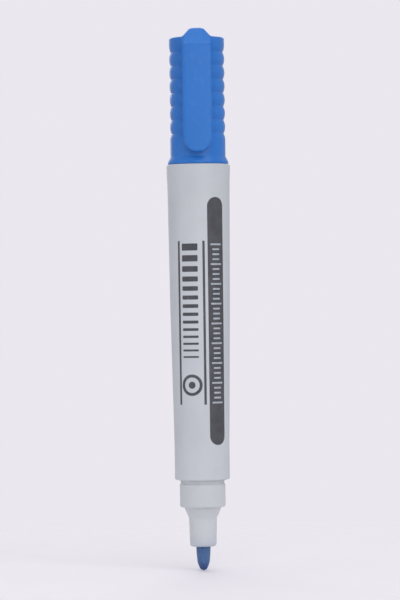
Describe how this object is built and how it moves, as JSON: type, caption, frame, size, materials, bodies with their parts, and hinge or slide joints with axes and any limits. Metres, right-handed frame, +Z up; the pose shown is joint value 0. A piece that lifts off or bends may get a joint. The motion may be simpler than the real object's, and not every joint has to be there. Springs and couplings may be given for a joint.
{
  "type": "whiteboard marker",
  "caption": "Round whiteboard marker with a bullet nib, a tapered barrel and a ribbed pull-off cap with a pocket clip, posted on the tail.",
  "frame": {"origin": "the nib's writing point, on the marker's axis", "axes": "+Z up the marker's axis from the writing point to the cap's top; the pocket clip faces -Y; +X is to the right for someone who looks at the clip"},
  "size_m": [0.0172, 0.0188, 0.1472],
  "materials": {
    "barrel_plastic": "cool light grey polypropylene, satin moulded, with printed markings",
    "nose_plastic": "cool light grey polypropylene, satin",
    "nib_fibre": "bonded fibre, wetted with blue ink",
    "reservoir_fibre": "soft bundled fibre, soaked with blue ink",
    "clear_film": "clear wrapping film",
    "plug_plastic": "blue polypropylene, satin gloss",
    "cap_plastic": "blue polypropylene, satin gloss",
    "liner_plastic": "natural soft polyethylene",
    "print_ink": "dark grey screen print"
  },
  "bodies": {
    "barrel": {"barrel": "barrel_plastic", "nose_section": "nose_plastic", "nib": "nib_fibre", "ink_reservoir": "reservoir_fibre", "reservoir_sleeve": "clear_film", "end_plug": "plug_plastic"},
    "inner_cap": {"inner_cap": "liner_plastic"},
    "cap_shell": {"cap_shell": "cap_plastic"},
    "clip": {"clip": "cap_plastic"}
  },
  "joints": [
    {"name": "cap_pull", "type": "slide", "parent": "barrel", "child": "inner_cap", "axis": [0, 0, 1], "range_m": [0, 0.045]},
    {"name": "cap_twist", "type": "hinge", "parent": "inner_cap", "child": "cap_shell", "pos_m": [0, 0, 0.1219], "axis": [0, 0, 1], "continuous": true},
    {"name": "clip_flex", "type": "hinge", "parent": "cap_shell", "child": "clip", "pos_m": [0, -0.0094, 0.1425], "axis": [-1, 0, 0], "range_deg": [0, 4], "stiffness_Nm_per_rad": 0.8}
  ]
}
